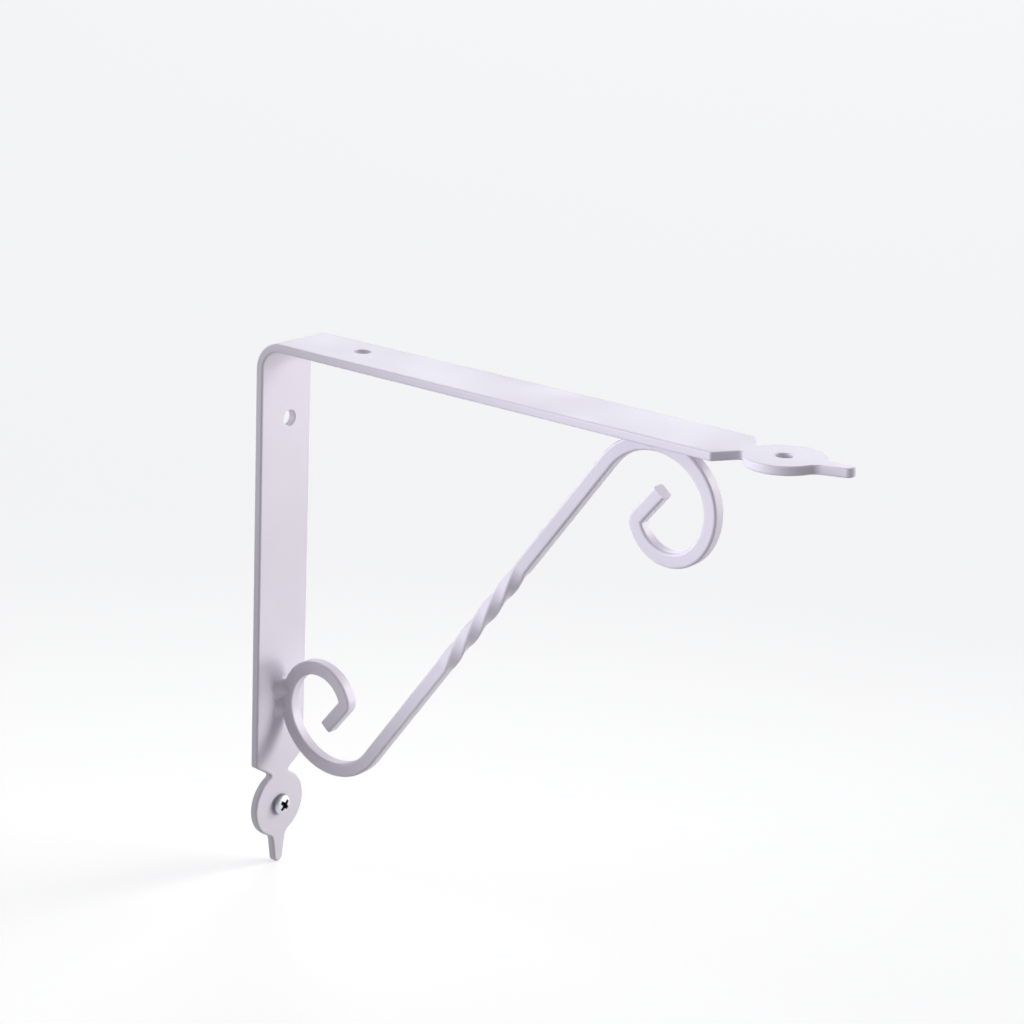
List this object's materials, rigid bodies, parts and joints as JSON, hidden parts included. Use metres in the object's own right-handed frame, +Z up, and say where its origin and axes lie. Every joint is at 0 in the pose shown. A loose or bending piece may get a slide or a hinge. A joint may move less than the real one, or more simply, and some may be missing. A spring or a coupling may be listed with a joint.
{
  "type": "scroll shelf bracket",
  "caption": "Bent steel strap bracket with leaf ends and a twisted scroll brace, screwed to a wall to carry a shelf.",
  "frame": {"origin": "on the back of the upright leg, at the middle of the strap's width, halfway between the leg's two screw holes", "axes": "+X out from the wall along the shelf leg, +Z up to the shelf, Y across the strap, with the pictured side at -Y"},
  "size_m": [0.2337, 0.025, 0.2017],
  "materials": {
    "powder_coat": "satin white powder coat over mild steel",
    "zinc_plate": "bright zinc plate"
  },
  "bodies": {
    "root": {"angle_strap": "powder_coat", "scroll_brace": "powder_coat", "wall_screw": "zinc_plate"}
  },
  "joints": []
}
